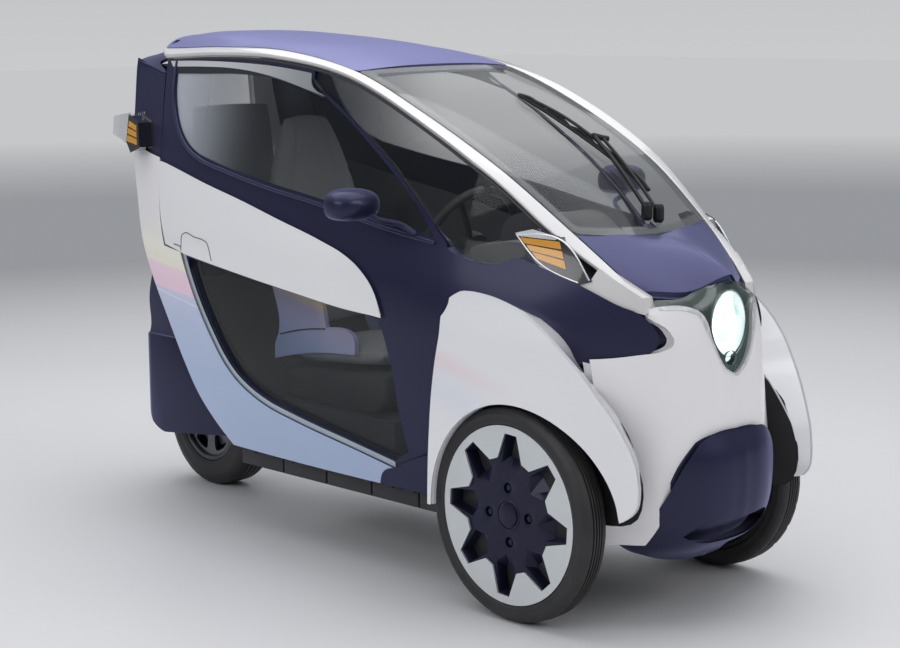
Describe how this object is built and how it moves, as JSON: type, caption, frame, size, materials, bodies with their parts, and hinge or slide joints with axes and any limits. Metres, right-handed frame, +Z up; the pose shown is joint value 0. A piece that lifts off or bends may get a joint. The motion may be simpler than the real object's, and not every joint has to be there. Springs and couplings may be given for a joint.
{
  "type": "three wheeled car",
  "caption": "Narrow tandem car with two large front wheels in fenders, a steered rear wheel, arched roof rails and side doors.",
  "frame": {"origin": "on the ground under the middle of the whole length", "axes": "+X forward, +Y to the left, +Z up"},
  "size_m": [2.3452, 1.148, 1.417],
  "materials": {
    "body_white": "pearl gloss",
    "body_navy": "satin gloss",
    "side_band": "pearl gloss, tinted by height",
    "clear_glass": "clear",
    "tinted_glass": "dark tint",
    "lamp_lens": "clear",
    "amber_lens": "ribbed lens",
    "lamp_inside": "dark bezel",
    "tyre": "treaded",
    "wheel_dark": "satin",
    "wheel_plate": "pearl satin",
    "frame_metal": "satin black",
    "floor_plastic": "ribbed",
    "battery_case": "plain block",
    "seat_cloth": "woven",
    "seat_shell": "tinted by height",
    "cabin_plastic": "grained",
    "wiper_black": "satin"
  },
  "bodies": {
    "body": {"side_skirts": "side_band", "rear_quarters": "body_navy", "quarter_glasses": "tinted_glass", "side_cowls": "body_navy", "front_indicators": "amber_lens", "roof_rails": "body_white", "roof_panel": "body_navy", "windscreen": "clear_glass", "bonnet": "body_navy", "nose_panel": "body_white", "front_bumper": "body_navy", "headlamp_lens": "lamp_lens", "headlamp_housing": "lamp_inside", "front_fenders": "body_white", "floor_tub": "floor_plastic", "battery_block": "battery_case", "front_frame": "frame_metal", "front_suspension": "frame_metal", "tail_block": "body_navy", "back_panel": "body_navy", "back_window": "tinted_glass", "tail_lamps": "lamp_lens", "front_seat": "seat_cloth", "front_seat_shell": "seat_shell", "rear_seat": "seat_cloth", "dashboard": "cabin_plastic", "steering_column": "cabin_plastic", "wiper": "wiper_black"},
    "door_right": {"door_right": "body_navy", "door_band_right": "side_band", "door_glass_right": "tinted_glass", "mirror_right": "body_navy"},
    "door_left": {"door_left": "body_navy", "door_band_left": "side_band", "door_glass_left": "tinted_glass", "mirror_left": "body_navy"},
    "front_wheel_right": {"front_tyre_right": "tyre", "front_rim_right": "wheel_dark", "front_wheel_plate_right": "wheel_plate"},
    "front_wheel_left": {"front_tyre_left": "tyre", "front_rim_left": "wheel_dark", "front_wheel_plate_left": "wheel_plate"},
    "rear_steer": {"rear_fork": "frame_metal", "rear_fender": "body_navy"},
    "rear_wheel": {"rear_tyre": "tyre", "rear_rim": "wheel_dark"},
    "steering_wheel": {"steering_wheel": "cabin_plastic"}
  },
  "joints": [
    {"name": "front_wheel_right_spin", "type": "hinge", "parent": "body", "child": "front_wheel_right", "pos_m": [0.768, -0.368, 0.267], "axis": [0, 1, 0], "continuous": true},
    {"name": "front_wheel_left_spin", "type": "hinge", "parent": "body", "child": "front_wheel_left", "pos_m": [0.768, 0.368, 0.267], "axis": [0, 1, 0], "continuous": true},
    {"name": "rear_wheel_steer", "type": "hinge", "parent": "body", "child": "rear_steer", "pos_m": [-0.932, 0, 0.45], "axis": [0, 0, 1], "range_deg": [-26, 26]},
    {"name": "rear_wheel_spin", "type": "hinge", "parent": "rear_steer", "child": "rear_wheel", "pos_m": [-0.932, 0, 0.215], "axis": [0, 1, 0], "continuous": true},
    {"name": "door_right_swing", "type": "hinge", "parent": "body", "child": "door_right", "pos_m": [0.55, -0.405, 0.6], "axis": [0, 0, 1], "range_deg": [0, 65]},
    {"name": "door_left_swing", "type": "hinge", "parent": "body", "child": "door_left", "pos_m": [0.55, 0.405, 0.6], "axis": [0, 0, -1], "range_deg": [0, 65]},
    {"name": "steering_wheel_turn", "type": "hinge", "parent": "body", "child": "steering_wheel", "pos_m": [0.208, 0, 0.845], "axis": [-0.9135, 0, 0.4067], "range_deg": [-390, 390]}
  ],
  "couplings": [
    {"joint": "steering_wheel_turn", "follows": "rear_wheel_steer", "ratio": -15}
  ]
}
